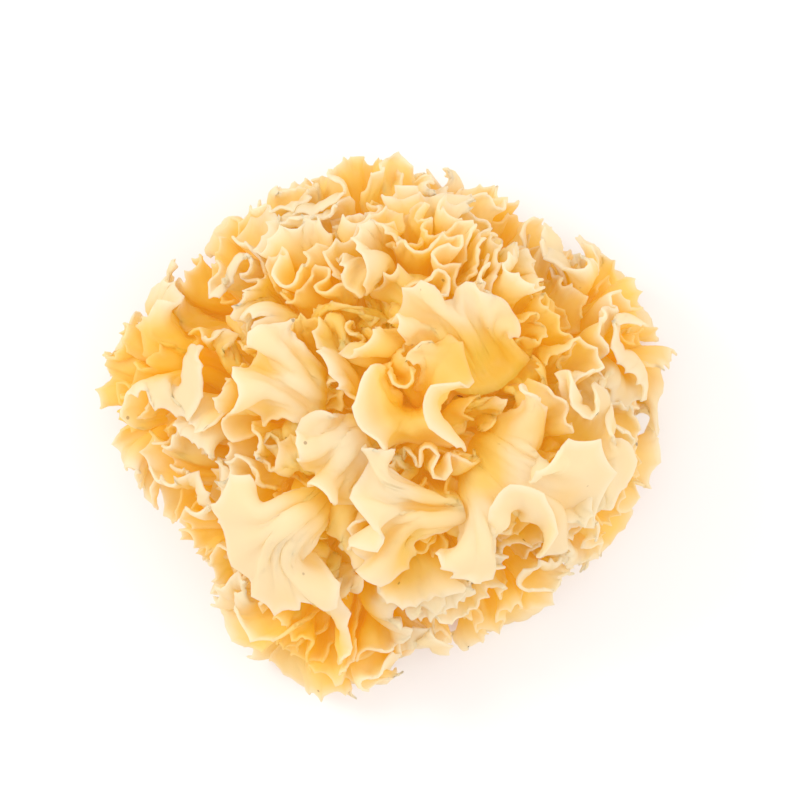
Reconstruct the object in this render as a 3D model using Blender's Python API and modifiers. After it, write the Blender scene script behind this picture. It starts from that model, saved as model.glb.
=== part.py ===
# A head of dried snow fungus, resting on its cut heel.
# Units are metres and +Z is up. The origin is the middle of the heel's flat cut.
# Seen from above with +X to the right and +Y up, it lies as in the photograph.

import math
import random

import bmesh
import bpy
from mathutils import Vector

# The heel, a flattened dome that all fronds grow from
HEEL_CENTRE_HEIGHT = 0.008
HEEL_RADIUS = 0.017
HEEL_DOME = 0.011
HEEL_SEGMENTS = 14
HEEL_RINGS = 7
HEEL_LUMP = 0.0008
HEEL_LUMPS_ROUND = 5

# The fronds. Each is a stalk with a few ruffled lobes set round its axis, askew like the blades of a
# pinwheel, so that each lobe's edge tucks in behind the next. A slope is a width over the distance
# from the heel's centre, and a share is of the way from the heel to the frond's rim
GAP = 0.0003
FLOOR_CLEARANCE = 0.0006
WALL = 0.0015
SQUEEZE_POWER = 4
STALK_SEGMENTS = 6
STALK_RINGS = 4
STALK_SHARE = 0.62
STALK_FOOT_SLOPE = 0.22
STALK_TOP_SLOPE = 0.30
LOBE_COLUMNS = 5
LOBE_ROWS = 2
LOBE_ROOT_SHARE = 0.24
LOBE_ROOT_OFF = 0.0035
LOBE_ROOT_WIDTH = 0.0045
LOBE_SLOPE = 0.26
LOBE_JITTER = 0.08
LOBE_SKEWS = (0.85, 1.05)
LOBE_LENGTHS = (0.95, 1.03)
LOBE_WAVES = (1.2, 1.8)
RUFFLE = 0.0032
DEEPEST_TOOTH = 0.105

# Each frond: the compass angle of its tuft seen from above, its rise over the horizon, both in
# degrees, how far its rim is from the heel's centre, its number of lobes, and their width at the rim
FRONDS = {
    "crown": (20, 82, 0.051, 5, 0.025),
    "upper_east": (2, 50, 0.050, 4, 0.022),
    "upper_northeast": (50, 52, 0.049, 4, 0.020),
    "upper_north": (103, 52, 0.048, 4, 0.021),
    "upper_northwest": (155, 54, 0.048, 4, 0.021),
    "upper_southwest": (206, 49, 0.050, 4, 0.023),
    "upper_south": (254, 53, 0.049, 4, 0.022),
    "upper_southeast": (308, 51, 0.051, 4, 0.028),
    "lower_east": (356, 13, 0.054, 4, 0.024),
    "lower_northeast": (36, 13, 0.046, 4, 0.021),
    "lower_north": (75, 14, 0.050, 4, 0.022),
    "lower_northnorthwest": (112, 12, 0.050, 4, 0.022),
    "lower_northwest": (150, 12, 0.058, 4, 0.024),
    "lower_west": (188, 12, 0.050, 4, 0.024),
    "lower_southwest": (225, 11, 0.057, 5, 0.024),
    "lower_south": (270, 13, 0.048, 4, 0.023),
    "lower_southeast": (315, 12, 0.050, 4, 0.025),
}
SEED = 28


def direction_of(azimuth, rise):
    """The unit vector at that compass angle and rise, in degrees."""
    a, r = math.radians(azimuth), math.radians(rise)
    return Vector((math.cos(a) * math.cos(r), math.sin(a) * math.cos(r), math.sin(r)))


HEART = Vector((0, 0, HEEL_CENTRE_HEIGHT))
AXES = {name: direction_of(f[0], f[1]) for name, f in FRONDS.items()}


def clear_scene():
    for obj in list(bpy.data.objects):
        bpy.data.objects.remove(obj, do_unlink=True)


def collection_of(name):
    made = bpy.data.collections.new(name)
    bpy.context.scene.collection.children.link(made)
    return made


def material_of(name, colour, roughness):
    made = bpy.data.materials.new(name)
    made.use_nodes = True
    shader = made.node_tree.nodes["Principled BSDF"]
    shader.inputs["Base Color"].default_value = (*colour, 1)
    shader.inputs["Roughness"].default_value = roughness
    shader.inputs["Metallic"].default_value = 0
    return made


def object_of(name, bm, collection, material):
    mesh = bpy.data.meshes.new(name)
    bm.to_mesh(mesh)
    bm.free()
    mesh.materials.append(material)
    made = bpy.data.objects.new(name, mesh)
    collection.objects.link(made)
    return made


# The room that each frond has

def walls_of(name):
    """The planes round a frond, each (normal, clearance): the bisectors with the other fronds."""
    axis = AXES[name]
    between = [(other - axis).normalized() for n, other in AXES.items() if n != name]
    return [(normal, (GAP + WALL) / 2) for normal in between]


def room_from(name, middle, sideways):
    """How far a point on the frond's axis may go sideways before it meets a neighbour or the floor."""
    rooms = []
    for normal, clearance in walls_of(name):
        closing = normal.dot(sideways)
        if closing > 1e-6:
            rooms.append((-clearance - normal.dot(middle - HEART)) / closing)
    if sideways.z < -1e-6:
        rooms.append((middle.z - FLOOR_CLEARANCE - WALL / 2) / -sideways.z)
    return max(min(rooms), 1e-4)


def squeezed(name, point):
    """The point moved towards the frond's axis, ever more as it nears the end of its room."""
    axis = AXES[name]
    middle = HEART + axis * (point - HEART).dot(axis)
    off = point - middle
    if off.length < 1e-7:
        return point
    room = room_from(name, middle, off.normalized())
    share = off.length / room
    return middle + off / (1 + share**SQUEEZE_POWER) ** (1 / SQUEEZE_POWER)


def heel_reach(axis):
    """How far from its centre the heel's dome keeps that way, measured square to the axis."""
    across = HEEL_RADIUS * math.hypot(axis.x, axis.y)
    return math.hypot(across, HEEL_DOME * axis.z)


# Pieces

def heel(collection, material):
    """A lumpy flattened dome, cut off flat at the floor."""
    bm = bmesh.new()
    bmesh.ops.create_uvsphere(bm, u_segments=HEEL_SEGMENTS, v_segments=HEEL_RINGS, radius=1)
    for vertex in bm.verts:
        way = vertex.co.normalized()
        lump = HEEL_LUMP * (1 + math.sin(HEEL_LUMPS_ROUND * math.atan2(way.y, way.x))) / 2
        vertex.co = Vector((
            way.x * (HEEL_RADIUS - lump),
            way.y * (HEEL_RADIUS - lump),
            way.z * HEEL_DOME,
        )) + HEART
    cut = bmesh.ops.bisect_plane(
        bm,
        geom=bm.verts[:] + bm.edges[:] + bm.faces[:],
        plane_co=(0, 0, 0),
        plane_no=(0, 0, -1),
        clear_outer=True,
    )
    rim = [e for e in cut["geom_cut"] if isinstance(e, bmesh.types.BMEdge)]
    bmesh.ops.contextual_create(bm, geom=rim)
    bmesh.ops.recalc_face_normals(bm, faces=bm.faces)
    return object_of("heel", bm, collection, material)


def turn_of(name):
    """The rotation that takes +Z to the frond's axis."""
    return AXES[name].to_track_quat("Z", "Y").to_matrix()


def stalk(name, collection, material):
    """The frond's fleshy stem: a club that stands on the heel and swells towards the lobes."""
    axis, turn, reach = AXES[name], turn_of(name), FRONDS[name][2]
    start = heel_reach(axis) + GAP
    end = reach * STALK_SHARE
    bm = bmesh.new()
    bmesh.ops.create_uvsphere(bm, u_segments=STALK_SEGMENTS, v_segments=STALK_RINGS, radius=1)
    for vertex in bm.verts:
        height = (vertex.co.z + 1) / 2
        ring = math.hypot(vertex.co.x, vertex.co.y)
        foot = vertex.co.z < -0.5
        along = start if foot else start + (end - start) * height
        middle = HEART + axis * along
        if ring < 1e-6:
            vertex.co = middle
            continue
        side = turn @ Vector((vertex.co.x / ring, vertex.co.y / ring, 0))
        slope = STALK_FOOT_SLOPE + (STALK_TOP_SLOPE - STALK_FOOT_SLOPE) * height
        vertex.co = squeezed(name, middle + side * slope * (1 if foot else ring) * along)
    bmesh.ops.recalc_face_normals(bm, faces=bm.faces)
    return object_of("frond_" + name, bm, collection, material)


def lobe(name, index, bearing, rng, collection, material):
    """A thin ruffled fan that grows from the stalk: its rim is jagged and waves to both sides."""
    axis, turn = AXES[name], turn_of(name)
    _, _, reach, _, width = FRONDS[name]
    start = heel_reach(axis)
    root = start + (reach - start) * LOBE_ROOT_SHARE
    side = turn @ Vector((math.cos(bearing), math.sin(bearing), 0))
    askew = bearing + math.pi / 2 - rng.uniform(*LOBE_SKEWS)
    across = turn @ Vector((math.cos(askew), math.sin(askew), 0))
    facing = across.cross(axis)
    rim = reach * rng.uniform(*LOBE_LENGTHS)
    waves = rng.uniform(*LOBE_WAVES)
    phase = rng.uniform(0, 2 * math.pi)
    teeth = [rng.uniform(0, DEEPEST_TOOTH) for _ in range(LOBE_COLUMNS + 1)]
    bm = bmesh.new()
    bmesh.ops.create_grid(bm, x_segments=LOBE_COLUMNS, y_segments=LOBE_ROWS, size=0.5)
    for vertex in bm.verts:
        u, v = vertex.co.x + 0.5, vertex.co.y + 0.5
        far = root + (rim * (1 - teeth[round(u * LOBE_COLUMNS)] * v) - root) * v
        half = (LOBE_ROOT_WIDTH + (width - LOBE_ROOT_WIDTH) * v) * (u - 0.5)
        off = LOBE_ROOT_OFF * (1 - v) + LOBE_SLOPE * far * v
        ruffle = RUFFLE * v * math.sin(2 * math.pi * waves * u + phase)
        sideways = side * off + across * half + facing * ruffle
        along = math.sqrt(far**2 - sideways.length_squared)
        vertex.co = squeezed(name, HEART + axis * along + sideways)
    made = object_of(f"lobe_{name}_{index}", bm, collection, material)
    shell = made.modifiers.new("wall", "SOLIDIFY")
    shell.thickness = WALL
    shell.offset = 0
    made.modifiers.new("flat_faces", "TRIANGULATE")
    made.hide_render = True
    made.display_type = "WIRE"


def frond(name, seed, collection, material):
    """A stalk and its lobes, joined in one solid."""
    rng = random.Random(seed)
    count = FRONDS[name][3]
    first = rng.uniform(0, 2 * math.pi)
    stem = stalk(name, collection, material)
    lobes = collection_of("lobes_" + name)
    for index in range(count):
        bearing = first + 2 * math.pi * (index + rng.uniform(-LOBE_JITTER, LOBE_JITTER)) / count
        lobe(name, index, bearing, rng, lobes, material)
    stem.modifiers.new("flat_faces", "TRIANGULATE")
    union = stem.modifiers.new("grown_together", "BOOLEAN")
    union.operation = "UNION"
    union.operand_type = "COLLECTION"
    union.collection = lobes


def main():
    clear_scene()
    head = collection_of("dried_snow_fungus")
    cream = material_of("dried_frond", (0.87, 0.66, 0.33), 0.55)
    tan = material_of("dried_heel", (0.55, 0.32, 0.11), 0.7)
    heel(head, tan)
    for index, name in enumerate(FRONDS):
        frond(name, SEED + index, head, cream)


main()
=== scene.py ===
# %% [markdown]
# # A head of dried snow fungus
# Snow fungus is a white jelly fungus. It grows on dead wood from one tough heel, and its thin wavy
# lobes branch from there like the petals of a rose. Dried, it turns crisp and cream-yellow. This
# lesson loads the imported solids, grows fine lobes in their places, and gives them a tissue that
# light shines through.

# %% Load the frame
import math
import random
import time

import bpy
import numpy as np
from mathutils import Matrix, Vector


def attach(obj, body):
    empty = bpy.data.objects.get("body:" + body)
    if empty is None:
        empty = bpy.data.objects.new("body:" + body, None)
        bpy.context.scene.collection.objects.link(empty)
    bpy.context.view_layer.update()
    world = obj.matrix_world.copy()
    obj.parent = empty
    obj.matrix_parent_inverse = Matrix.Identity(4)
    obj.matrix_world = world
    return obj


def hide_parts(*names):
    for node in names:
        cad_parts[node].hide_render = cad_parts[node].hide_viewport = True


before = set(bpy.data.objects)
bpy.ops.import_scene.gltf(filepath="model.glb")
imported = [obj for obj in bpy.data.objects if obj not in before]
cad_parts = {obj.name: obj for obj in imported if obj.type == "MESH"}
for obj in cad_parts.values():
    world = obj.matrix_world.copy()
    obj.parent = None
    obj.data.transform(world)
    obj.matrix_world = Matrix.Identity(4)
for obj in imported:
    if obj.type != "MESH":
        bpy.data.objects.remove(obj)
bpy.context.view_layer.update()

MM = 0.001
TINY = 1e-9    # added to a length before something is divided by it

# %% [markdown]
# ## The plan of the fronds
# The fruit body forks into seventeen main fronds, and each frond carries four or five lobes round
# its stalk. New lobes could be strewn at random over the solids, but then they would cross them. So
# this lesson repeats the plan that the solids were made from, and every grown lobe comes where its
# solid is. The plan gives the way a frond points, as a compass angle and a rise in degrees, how far
# its rim is from the heart of the heel in mm, how many lobes it has, and a lobe's width at the rim in
# mm.

# %% The plan
HEART = np.array([0, 0, 8 * MM])
HEEL_RADIUS = 17 * MM
HEEL_DOME = 11 * MM
FRONDS = {
    "crown": (20, 82, 51, 5, 25),
    "upper_east": (2, 50, 50, 4, 22),
    "upper_northeast": (50, 52, 49, 4, 20),
    "upper_north": (103, 52, 48, 4, 21),
    "upper_northwest": (155, 54, 48, 4, 21),
    "upper_southwest": (206, 49, 50, 4, 23),
    "upper_south": (254, 53, 49, 4, 22),
    "upper_southeast": (308, 51, 51, 4, 28),
    "lower_east": (356, 13, 54, 4, 24),
    "lower_northeast": (36, 13, 46, 4, 21),
    "lower_north": (75, 14, 50, 4, 22),
    "lower_northnorthwest": (112, 12, 50, 4, 22),
    "lower_northwest": (150, 12, 58, 4, 24),
    "lower_west": (188, 12, 50, 4, 24),
    "lower_southwest": (225, 11, 57, 5, 24),
    "lower_south": (270, 13, 48, 4, 23),
    "lower_southeast": (315, 12, 50, 4, 25),
}
SEED = 28


def direction_of(azimuth, rise):
    """The unit vector at that compass angle and rise, in degrees."""
    a, r = math.radians(azimuth), math.radians(rise)
    return np.array([math.cos(a) * math.cos(r), math.sin(a) * math.cos(r), math.sin(r)])


AXES = {name: direction_of(plan[0], plan[1]) for name, plan in FRONDS.items()}
TURNS = {name: np.array(Vector(a).to_track_quat("Z", "Y").to_matrix()) for name, a in AXES.items()}
ALL_AXES = np.array(list(AXES.values()))
ALL_REACHES = np.array([plan[2] * MM for plan in FRONDS.values()])
print("fronds:", len(FRONDS), "main lobes:", sum(plan[3] for plan in FRONDS.values()))

# %% [markdown]
# ## Room for each frond
# Fronds press on each other as they grow, so each fills a cell whose walls lie midway to its
# neighbours, and the lowest ones are flattened by what they lie on. Lobes cut off at those walls
# would end in straight edges. So a point that would leave its frond's room is squeezed back towards
# the frond's axis, which keeps the curve of the lobe.

# %% Rooms
WALL_CLEARANCE = 0.9 * MM
FLOOR_CLEARANCE = 1.35 * MM
LEAST_ROOM = 0.1 * MM
LEAST_CLOSING = 1e-6    # a way that runs along a wall never meets it
SQUEEZE_POWER = 4       # the higher it is, the later a point is held back


def walls_of(name):
    """The normals of the walls between the frond and each of the others."""
    others = np.array([axis for other, axis in AXES.items() if other != name])
    normals = others - AXES[name]
    return normals / np.linalg.norm(normals, axis=1, keepdims=True)


WALLS = {name: walls_of(name) for name in FRONDS}


def squeezed(name, points):
    """The points moved towards the frond's axis, ever more as they near the end of its room."""
    from_heart = points - HEART
    along = from_heart @ AXES[name]
    middle = along[..., None] * AXES[name]
    off = from_heart - middle
    size = np.linalg.norm(off, axis=-1) + TINY
    way = off / size[..., None]
    closing = np.maximum(way @ WALLS[name].T, LEAST_CLOSING)
    to_walls = (-WALL_CLEARANCE - middle @ WALLS[name].T) / closing
    sinking = np.maximum(-way[..., 2], LEAST_CLOSING)
    to_floor = (HEART[2] + middle[..., 2] - FLOOR_CLEARANCE) / sinking
    room = np.maximum(np.minimum(to_walls.min(axis=-1), to_floor), LEAST_ROOM)
    share = size / room
    return HEART + middle + off / ((1 + share**SQUEEZE_POWER) ** (1 / SQUEEZE_POWER))[..., None]


def heel_reach(name):
    """How far from the heart the heel's dome ends, on the frond's way out."""
    axis = AXES[name]
    return math.hypot(HEEL_RADIUS * math.hypot(axis[0], axis[1]), HEEL_DOME * axis[2])


print("walls round a frond:", len(WALLS["crown"]))
print("from the heart to the heel's top:", round(heel_reach("crown") / MM, 1), "mm")

# %% [markdown]
# ## The young lobes
# A young lobe is a plain fan of tissue, narrow at its root and wide at its rim. It could be a flat
# plane with a subdivision modifier, but growth needs to know every point's neighbours. So each lobe
# is a small grid of points: rows go from root to rim and columns from side to side.

# %% A young lobe
ROWS = 14
COLUMNS = 36
ROOT_WIDTH = 4.5 * MM

row = np.linspace(0, 1, ROWS)[:, None]
column = np.linspace(0, 1, COLUMNS)[None, :]
lobes = []


def young_lobe(name, bearing, askew, root, rim, width, root_off, slope, ruffle, waves, phase):
    """A fan beside the frond's axis, on the side of the bearing and turned askew to it."""
    turn, axis = TURNS[name], AXES[name]
    side = turn @ np.array([math.cos(bearing), math.sin(bearing), 0])
    across = turn @ np.array([math.cos(askew), math.sin(askew), 0])
    facing = np.cross(across, axis)
    far = root + (rim - root) * row + 0 * column
    half = (ROOT_WIDTH + (width - ROOT_WIDTH) * row) * (column - 0.5)
    off = root_off * (1 - row) + slope * far * row
    wave = ruffle * row * np.sin(2 * math.pi * waves * column + phase)
    sideways = off[..., None] * side + half[..., None] * across + wave[..., None] * facing
    along = np.sqrt(far**2 - (sideways**2).sum(axis=-1))
    return squeezed(name, HEART + along[..., None] * axis + sideways)


def sow(name, points, width, length, growth, lean=(0, 0, 0)):
    """Adds a lobe, with how much its margin will grow and the way it leans as it opens."""
    lobes.append({
        "frond": name,
        "points": points,
        "width": width,
        "length": length,
        "growth": growth,
        "lean": np.array(lean, float),
    })


print("points in a lobe:", ROWS * COLUMNS)

# %% [markdown]
# ### Main lobes
# The first lobes of a frond repeat those of its solid, set askew round the stalk like the blades of a
# pinwheel. Their bearings, lengths and waves are drawn from the same random stream as the solid's,
# in the same order, so that both agree. A second stream draws how much each margin grows: about one
# lobe in three stays rather smooth, and the others get ruffled.

# %% Main lobes of a frond
ROOT_SHARE = 0.24
ROOT_OFF = 3.5 * MM
LOBE_SLOPE = 0.26
LOBE_JITTER = 0.08
LOBE_SKEWS = (0.85, 1.05)
LOBE_LENGTHS = (0.95, 1.03)
LOBE_WAVES = (1.2, 1.8)
LOBE_TEETH = 6
RUFFLE = 3.2 * MM
SMOOTH_LOBES = 0.3
SMOOTH_GROWTH = (0.25, 0.5)
RUFFLED_GROWTH = (0.8, 1.4)


def sow_main_lobes(name, first, root, rng, grow_rng):
    _, _, reach, count, width = FRONDS[name]
    for number in range(count):
        bearing = first + 2 * math.pi * (number + rng.uniform(-LOBE_JITTER, LOBE_JITTER)) / count
        askew = bearing + math.pi / 2 - rng.uniform(*LOBE_SKEWS)
        rim = reach * MM * rng.uniform(*LOBE_LENGTHS)
        waves = rng.uniform(*LOBE_WAVES)
        phase = rng.uniform(0, 2 * math.pi)
        for _ in range(LOBE_TEETH):
            rng.uniform(0, 1)    # the solid's teeth, which the grown rim has no use for
        points = young_lobe(
            name, bearing, askew, root, rim, width * MM, ROOT_OFF, LOBE_SLOPE, RUFFLE, waves, phase,
        )
        lean = TURNS[name] @ np.array([math.cos(bearing), math.sin(bearing), 0])
        smooth = grow_rng.random() < SMOOTH_LOBES
        growth = grow_rng.uniform(*(SMOOTH_GROWTH if smooth else RUFFLED_GROWTH))
        sow(name, points, width * MM, rim - root, growth, lean)


# %% [markdown]
# ### Inner lobes
# The youngest lobes are small and fill the middle of the rosette. Without them one would look down
# between the main lobes onto the bare stalk. A long frond has room for two more, and where broad
# petals will cover the frond one less is enough.

# %% Inner lobes of a frond, and sow both kinds
INNER_LOBES = 2
LONG_FROND = 55    # mm
COVERED_FRONDS = ("crown", "upper_southeast")
INNER_PLACES = (0.2, 0.6)
INNER_SKEWS = (0.3, 0.9)
INNER_ROOT_SHARE = 0.15
INNER_LENGTHS = (0.88, 0.98)
INNER_WIDTH = 14 * MM
INNER_ROOT_OFF = 1.5 * MM
INNER_SLOPE = 0.03
INNER_RUFFLE = 1.5 * MM
INNER_WAVES = 1.3
INNER_GROWTH = (0.7, 1.3)
GROW_SEED = SEED + 100


def sow_inner_lobes(name, first, root, rng):
    reach = FRONDS[name][2] * MM
    high = root + (reach - root) * INNER_ROOT_SHARE
    count = INNER_LOBES + 2 * (FRONDS[name][2] > LONG_FROND) - (name in COVERED_FRONDS)
    for number in range(count):
        bearing = first + 2 * math.pi * (number + rng.uniform(*INNER_PLACES)) / count
        askew = bearing + math.pi / 2 - rng.uniform(*INNER_SKEWS)
        rim = reach * rng.uniform(*INNER_LENGTHS)
        points = young_lobe(
            name, bearing, askew, high, rim, INNER_WIDTH, INNER_ROOT_OFF,
            INNER_SLOPE * count, INNER_RUFFLE, INNER_WAVES, number,
        )
        sow(name, points, INNER_WIDTH, rim - high, rng.uniform(*INNER_GROWTH))


for index, name in enumerate(FRONDS):
    rng = random.Random(SEED + index)
    grow_rng = random.Random(GROW_SEED + index)
    start = heel_reach(name)
    root = start + (FRONDS[name][2] * MM - start) * ROOT_SHARE
    first = rng.uniform(0, 2 * math.pi)
    sow_main_lobes(name, first, root, rng, grow_rng)
    sow_inner_lobes(name, first, root, rng)
print("lobes:", len(lobes))

# %% [markdown]
# ### Lobes in the gaps
# Where three fronds meet there is a gap, and a side lobe from the nearest stalk leans over and closes
# it. The gaps are the places on the dome that are farthest from every frond's own direction. They
# are found by walking a spiral of evenly spread places and keeping the loneliest ones.

# %% Sow lobes in the gaps
GAP_ANGLE = 17      # degrees from the nearest frond's direction
GAP_SPACING = 17    # degrees between two gaps
LOWEST_RISE = -3    # degrees
PLACES_TRIED = 3000
GOLDEN_ANGLE = math.pi * (3 - math.sqrt(5))
GAP_ROOT_SHARE = 0.2
GAP_LENGTH = 0.97
STALK_PULL = 0.6    # the root's way is partly that of the stalk
GAP_PULL = 0.4      # and partly that of the gap
AIM_JITTER = 0.10
GAP_WIDTHS = (14, 20)
GAP_GROWTH = (0.5, 1.2)
LOWEST_POINT = 1.5 * MM


def find_gaps():
    rises = np.arcsin(np.linspace(math.sin(math.radians(LOWEST_RISE)), 1, PLACES_TRIED))
    around = GOLDEN_ANGLE * np.arange(PLACES_TRIED)
    flat = np.cos(rises)
    ways = np.stack([np.cos(around) * flat, np.sin(around) * flat, np.sin(rises)], axis=1)
    angle = np.degrees(np.arccos(np.clip((ways @ ALL_AXES.T).max(axis=1), -1, 1)))
    found = []
    for at in np.argsort(-angle):
        if angle[at] < GAP_ANGLE:
            break
        if all(ways[at] @ other < math.cos(math.radians(GAP_SPACING)) for other in found):
            found.append(ways[at])
    return found


def random_way(rng):
    return np.array([rng.uniform(-1, 1) for _ in range(3)])


gaps = find_gaps()
rng = random.Random(SEED)
names = list(FRONDS)
for gap in gaps:
    name = names[np.argsort(-(ALL_AXES @ gap))[0]]
    start = heel_reach(name)
    reach = FRONDS[name][2] * MM
    way = STALK_PULL * AXES[name] + GAP_PULL * gap
    root = HEART + way / np.linalg.norm(way) * (start + (reach - start) * GAP_ROOT_SHARE)
    aim = gap + AIM_JITTER * random_way(rng)
    tip = HEART + aim / np.linalg.norm(aim) * reach * GAP_LENGTH
    middle = root + (tip - root) * row[..., None]
    length = np.linalg.norm(tip - root)
    across = np.cross((tip - root) / length, random_way(rng))
    across /= np.linalg.norm(across)
    wide = rng.uniform(*GAP_WIDTHS) * MM
    half = (ROOT_WIDTH + (wide - ROOT_WIDTH) * row) * (column - 0.5)
    points = middle + half[..., None] * across
    points[..., 2] = np.maximum(points[..., 2], LOWEST_POINT)
    sow(name, points, wide, length, rng.uniform(*GAP_GROWTH))
print("gaps:", len(gaps), "lobes in all:", len(lobes))

# %% [markdown]
# ### Reading a sheet at any place
# A sheet is a grid of points, and a cubic through the four nearest points each way gives a smooth
# place between them. Straight lines between the points would show as facets. The reading serves
# twice: to draw the broad petals and, later, to refine the grown lobes.

# %% Read a sheet at any place
def cubic(t):
    """The shares of the four points round a place that lies t of the way from the second to the third."""
    return np.stack([
        (-t + 2 * t**2 - t**3) / 2,
        (2 - 5 * t**2 + 3 * t**3) / 2,
        (t + 4 * t**2 - 3 * t**3) / 2,
        (-(t**2) + t**3) / 2,
    ])


def sheet_at(sheet, u, v):
    """The places that lie u of the way across the sheet and v of the way from its root to its rim."""
    rows, columns = sheet.shape[:2]
    padded = np.pad(sheet, ((1, 1), (1, 1), (0, 0)), mode="edge")
    padded[0] = 2 * padded[1] - padded[2]
    padded[-1] = 2 * padded[-2] - padded[-3]
    padded[:, 0] = 2 * padded[:, 1] - padded[:, 2]
    padded[:, -1] = 2 * padded[:, -2] - padded[:, -3]
    x, y = u * (columns - 1), v * (rows - 1)
    i = np.clip(np.floor(x).astype(int), 0, columns - 2)
    j = np.clip(np.floor(y).astype(int), 0, rows - 2)
    across, along = cubic(x - i), cubic(y - j)
    place = np.zeros((*u.shape, 3))
    for a in range(4):
        for b in range(4):
            place += (across[a] * along[b])[..., None] * padded[j + b, i + a]
    return place


middle_place = sheet_at(lobes[0]["points"], np.array([0.5]), np.array([0.5]))[0]
print("the middle of the first lobe, in mm:", np.round(middle_place / MM, 1).tolist())

# %% [markdown]
# ### Broad petals
# A few lobes are much broader than the rest, and smooth. They come up between the fronds, bend over
# and lie on the tuft like an open hand, and they are what the eye finds first, so chance can't place
# them. Each is drawn as a few points from its hinge to its rim, as seen from above, and how far each
# point stands over or under the round of the whole tuft.

# %% Draw the broad petals
TUFT_ROUND = 49 * MM    # the radius of the tuft's round about the heart
SPHERE_EDGE = 0.98      # what is drawn farther out than this share of a reach comes down to it
PETALS = [
    # the frond, then rows from the hinge to the rim. A point is x and y in mm, and how many mm
    # farther from the heart than the tuft's round it lies
    ("upper_southeast", (
        ((2, -22, -9), (4, -20, -8), (6, -18, -8), (8, -16, -9),
         (10, -14, -9), (12, -13, -10), (14, -11, -10)),
        ((0, -27, -4), (4, -26, -1), (9, -25, -2), (12, -24, 0),
         (14, -20, 0), (15, -17, -2), (18, -12, -5)),
        ((-2, -32, -1), (4, -32, 2), (10, -30, -3), (16, -30, 2),
         (19, -26, 2), (19, -20, 1), (22, -12, -1)),
        ((-3, -36, 1), (5, -38, 3), (14, -32, 3), (22, -39, 2),
         (25, -29, 3), (23, -21, 2), (27, -10, 2)),
    )),
    ("lower_southeast", (
        ((22, -17, -10), (24, -20, -8), (25, -23, -7), (25, -26, -5), (23, -28, -5)),
        ((26, -14, -5), (28, -18, -4), (29, -23, -2), (28, -28, -1), (25, -31, -1)),
        ((28, -11, -1), (31, -16, 0), (32, -23, 2), (31, -29, 3), (26, -34, 1)),
        ((29, -8, 0), (34, -14, 3), (35, -22, 3), (33, -31, 3), (28, -36, 3)),
    )),
    ("upper_south", (
        ((1, -26, -5), (2, -25, -4), (2, -23, -4), (0, -22, -4), (-2, -20, -6)),
        ((-4, -26, -3), (-4, -24, -1), (-4, -21, -4), (-5, -18, -3), (-6, -15, -5)),
        ((-10, -25, -4), (-10, -22, -2), (-11, -19, 0), (-10, -14, 0), (-9, -11, -4)),
        ((-15, -26, -4), (-22, -21, -2), (-17, -16, -1), (-12, -9, 2), (-8, -11, -3)),
    )),
    ("upper_southwest", (
        ((-22, -9, -6), (-22, -11, -4), (-22, -13, -3), (-22, -15, -3), (-22, -16, -5)),
        ((-26, -9, -2), (-28, -11, 1), (-28, -14, 3), (-27, -17, 1), (-25, -18, -2)),
        ((-30, -9, 0), (-33, -11, 2), (-34, -16, 2), (-32, -20, 1), (-28, -20, -2)),
        ((-34, -9, 1), (-39, -13, 3), (-40, -22, 3), (-34, -28, 3), (-28, -21, -3)),
    )),
    ("crown", (
        ((3, -1, -10), (4, -2, -10), (4, -4, -10), (2, -5, -10),
         (0, -4, -10), (-1, -3, -10), (0, -1, -10)),
        ((5, 0, -6), (6, -1, -5), (5, -5, -5), (2, -6, -6),
         (-1, -5, -6), (-2, -2, -6), (-1, 0, -6)),
        ((6, 4, -3), (8, 0, -2), (8, -5, -3), (3, -8, -3), (-3, -6, -5), (-4, 0, -3), (-2, 3, -4)),
        ((5, 7, -5), (11, 2, -4), (9, -6, -1), (3, -11, -7),
         (-5, -8, -7), (-6, 1, -6), (-3, 5, -4)),
    )),
    ("upper_east", (
        ((9, -3, -10), (12, -6, -10), (16, -7, -10), (20, -6, -10), (24, -4, -9)),
        ((7, 1, -10), (11, -1, -10), (15, -2, -10), (19, -1, -10), (22, 0, -6)),
        ((6, 6, -4), (10, 7, -2), (14, 7, -1), (18, 6, -1), (22, 2, -1)),
        ((3, 9, -6), (6, 12, -6), (12, 13, -6), (18, 11, -5), (24, 5, -5)),
    )),
    ("upper_northwest", (
        ((-15, 0, -10), (-14, 3, -8), (-13, 5, -7), (-12, 7, -7), (-11, 10, -9)),
        ((-19, 3, -5), (-17, 6, -5), (-16, 9, -3), (-14, 12, -5), (-13, 14, -5)),
        ((-22, 6, -6), (-22, 10, -2), (-20, 14, -4), (-17, 16, -2), (-14, 18, -4)),
        ((-24, 8, -5), (-26, 13, -4), (-22, 19, -2), (-18, 20, -4), (-14, 20, -3)),
    )),
    ("upper_southwest", (
        ((-9, -1, -10), (-9, -3, -8), (-9, -5, -7), (-9, -8, -8), (-9, -10, -10)),
        ((-12, 0, -8), (-13, -3, -5), (-13, -6, -4), (-13, -9, -6), (-12, -12, -8)),
        ((-14, 0, -6), (-17, -3, -4), (-18, -7, -4), (-17, -11, -4), (-14, -14, -6)),
        ((-16, 1, -6), (-21, -3, -3), (-22, -8, -4), (-20, -13, -4), (-15, -15, -5)),
    )),
]


def from_above(x, y, reach):
    """The point over x, y that lies so far from the heart."""
    across = np.minimum(np.hypot(x, y), SPHERE_EDGE * reach)
    turn = np.arctan2(y, x)
    up = np.sqrt(reach**2 - across**2)
    return HEART + np.stack([across * np.cos(turn), across * np.sin(turn), up], axis=-1)


def drawn_petal(rows):
    """The drawn points of a petal as places in the scene."""
    x, y, over = np.moveaxis(np.array(rows) * MM, -1, 0)
    return from_above(x, y, TUFT_ROUND + over)


print("broad petals drawn:", len(PETALS))

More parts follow.
